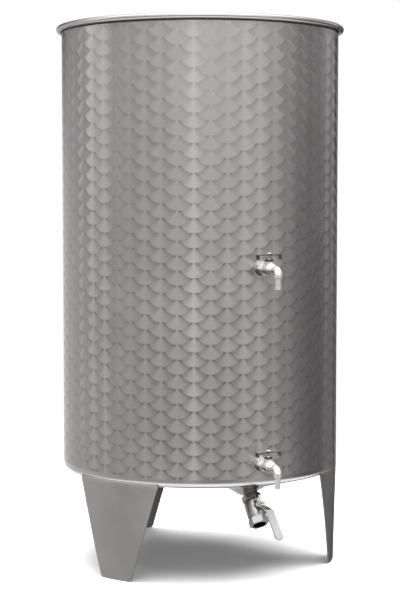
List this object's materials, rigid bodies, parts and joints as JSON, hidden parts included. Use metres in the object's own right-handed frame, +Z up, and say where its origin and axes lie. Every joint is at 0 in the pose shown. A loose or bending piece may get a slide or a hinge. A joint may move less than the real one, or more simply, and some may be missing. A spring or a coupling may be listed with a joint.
{
  "type": "bulk milk tank",
  "caption": "Upright open-topped stainless cylinder on sheet legs, with sampling taps on its front and a lever ball valve under its floor sump.",
  "frame": {"origin": "on the tank's axis, at the level of the floor it stands on", "axes": "+Z up along the tank's axis; -Y is the front, towards the taps and the drain; +X is on the right of someone who stands in front of the tank and faces it"},
  "size_m": [0.665, 0.747, 1.235],
  "materials": {
    "circle_polished_steel": "stainless sheet with an overlapping circle-polished pattern, its rolled bead bright",
    "smooth_steel": "smooth pressed stainless sheet, satin",
    "satin_steel": "turned stainless, satin",
    "leg_steel": "dull rolled stainless sheet",
    "weld_steel": "rippled weld bead, wire-brushed",
    "cast_steel": "investment-cast stainless, glass-blasted with machined faces",
    "bright_steel": "polished stainless",
    "plated_steel": "bright stainless fasteners",
    "lever_steel": "pressed stainless strip, tumbled",
    "tap_chrome": "polished plated tap",
    "ptfe": "white PTFE",
    "grey_vinyl": "dipped soft vinyl, light grey, semi-matt"
  },
  "bodies": {
    "tank": {"shell": "circle_polished_steel", "bottom_dish": "smooth_steel", "drain_nipple": "satin_steel", "leg_front_left": "leg_steel", "leg_front_right": "leg_steel", "leg_rear": "leg_steel", "leg_welds": "weld_steel", "drain_body": "cast_steel", "drain_end_cap": "cast_steel", "drain_seats": "ptfe", "drain_packing": "ptfe", "drain_gland_nut": "plated_steel", "upper_tap_socket": "bright_steel", "upper_tap_body": "tap_chrome", "upper_tap_retainer": "bright_steel", "upper_tap_seats": "ptfe", "upper_tap_packing": "ptfe", "upper_tap_gland_nut": "tap_chrome", "upper_tap_spout": "tap_chrome", "lower_tap_socket": "bright_steel", "lower_tap_body": "tap_chrome", "lower_tap_retainer": "bright_steel", "lower_tap_seats": "ptfe", "lower_tap_packing": "ptfe", "lower_tap_gland_nut": "tap_chrome", "lower_tap_spout": "tap_chrome"},
    "upper_tap_turn": {"upper_tap_ball": "bright_steel", "upper_tap_stem": "bright_steel", "upper_tap_handle": "tap_chrome", "upper_tap_handle_nut": "tap_chrome"},
    "lower_tap_turn": {"lower_tap_ball": "bright_steel", "lower_tap_stem": "bright_steel", "lower_tap_handle": "tap_chrome", "lower_tap_handle_nut": "tap_chrome"},
    "drain_turn": {"drain_ball": "bright_steel", "drain_stem": "bright_steel", "drain_lever": "lever_steel", "drain_lever_sleeve": "grey_vinyl", "drain_spring_washer": "plated_steel", "drain_handle_nut": "plated_steel"}
  },
  "joints": [
    {"name": "upper_tap_turn", "type": "hinge", "parent": "tank", "child": "upper_tap_turn", "pos_m": [0, -0.357, 0.692], "axis": [0, 0, 1], "range_deg": [0, 90]},
    {"name": "lower_tap_turn", "type": "hinge", "parent": "tank", "child": "lower_tap_turn", "pos_m": [0, -0.357, 0.267], "axis": [0, 0, 1], "range_deg": [0, 90]},
    {"name": "drain_lever", "type": "hinge", "parent": "tank", "child": "drain_turn", "pos_m": [0, -0.29187, 0.1608], "axis": [0, 0.7986, -0.6018], "range_deg": [0, 90]}
  ]
}
